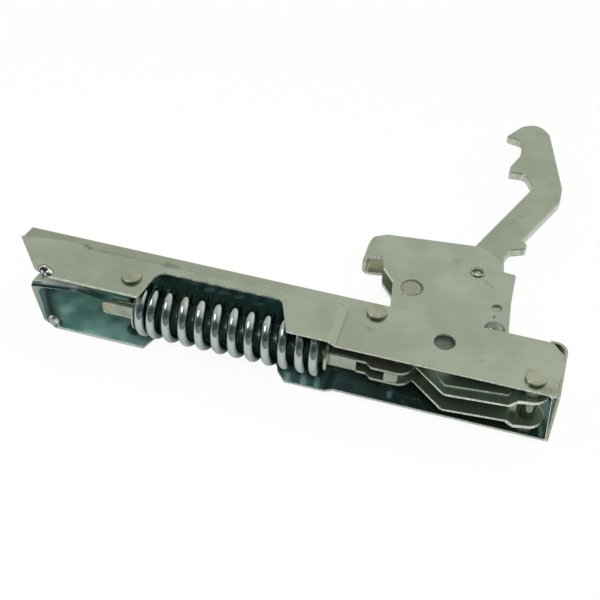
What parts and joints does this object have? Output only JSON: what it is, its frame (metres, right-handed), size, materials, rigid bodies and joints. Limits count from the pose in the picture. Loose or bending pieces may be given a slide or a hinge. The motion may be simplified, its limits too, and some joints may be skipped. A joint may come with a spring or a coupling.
{
  "type": "oven door hinge",
  "caption": "Oven door hinge: a folded steel channel holds a coil spring on a tie rod, and a hooked arm between folded cheeks swings out of its slot on a pivot pin.",
  "frame": {"origin": "axis of the plain locating hole, on the upper flange's outer face", "axes": "+X along the channel towards the pivot end, +Y from the channel's open side towards the hook, +Z out of the upper flange"},
  "size_m": [0.21, 0.1685, 0.0314],
  "materials": {
    "zinc_sheet": "zinc plated, satin, slightly cloudy",
    "cheek_sheet": "zinc plated, satin with faint rolling lines",
    "arm_plate": "zinc plated, blanked edges",
    "rod_sheet": "zinc plated, darker inside the channel",
    "rivet_steel": "zinc plated, with brown staining at the rims",
    "spring_steel": "bright plated round wire"
  },
  "bodies": {
    "housing": {"channel": "zinc_sheet", "pivot_pin": "rivet_steel", "upper_pivot_spacer": "rivet_steel", "lower_pivot_spacer": "rivet_steel", "stop_rivet": "rivet_steel", "stop_sleeve": "rivet_steel", "rear_rivet": "rivet_steel", "spring_seat": "zinc_sheet", "spring": "spring_steel"},
    "arm": {"cheek_plates": "cheek_sheet", "hook_arm": "arm_plate", "arm_rivet": "rivet_steel", "eyelet": "rivet_steel", "dome_rivet": "rivet_steel", "crank_pin": "rivet_steel"},
    "rod": {"tie_rod": "rod_sheet", "link": "rod_sheet", "fork_pin": "rivet_steel", "spring_washer": "zinc_sheet", "tail_key": "zinc_sheet"}
  },
  "joints": [
    {"name": "arm_hinge", "type": "hinge", "parent": "housing", "child": "arm", "pos_m": [0.0338, -0.0081, -0.0126], "axis": [0, 0, -1], "range_deg": [0, 90], "stiffness_Nm_per_rad": 9.5},
    {"name": "rod_slide", "type": "slide", "parent": "housing", "child": "rod", "axis": [1, 0, 0], "range_m": [0, 0.0184], "deforming": ["spring"]}
  ],
  "couplings": [
    {"joint": "rod_slide", "follows": "arm_hinge", "m_per_rad": 0.0117}
  ]
}
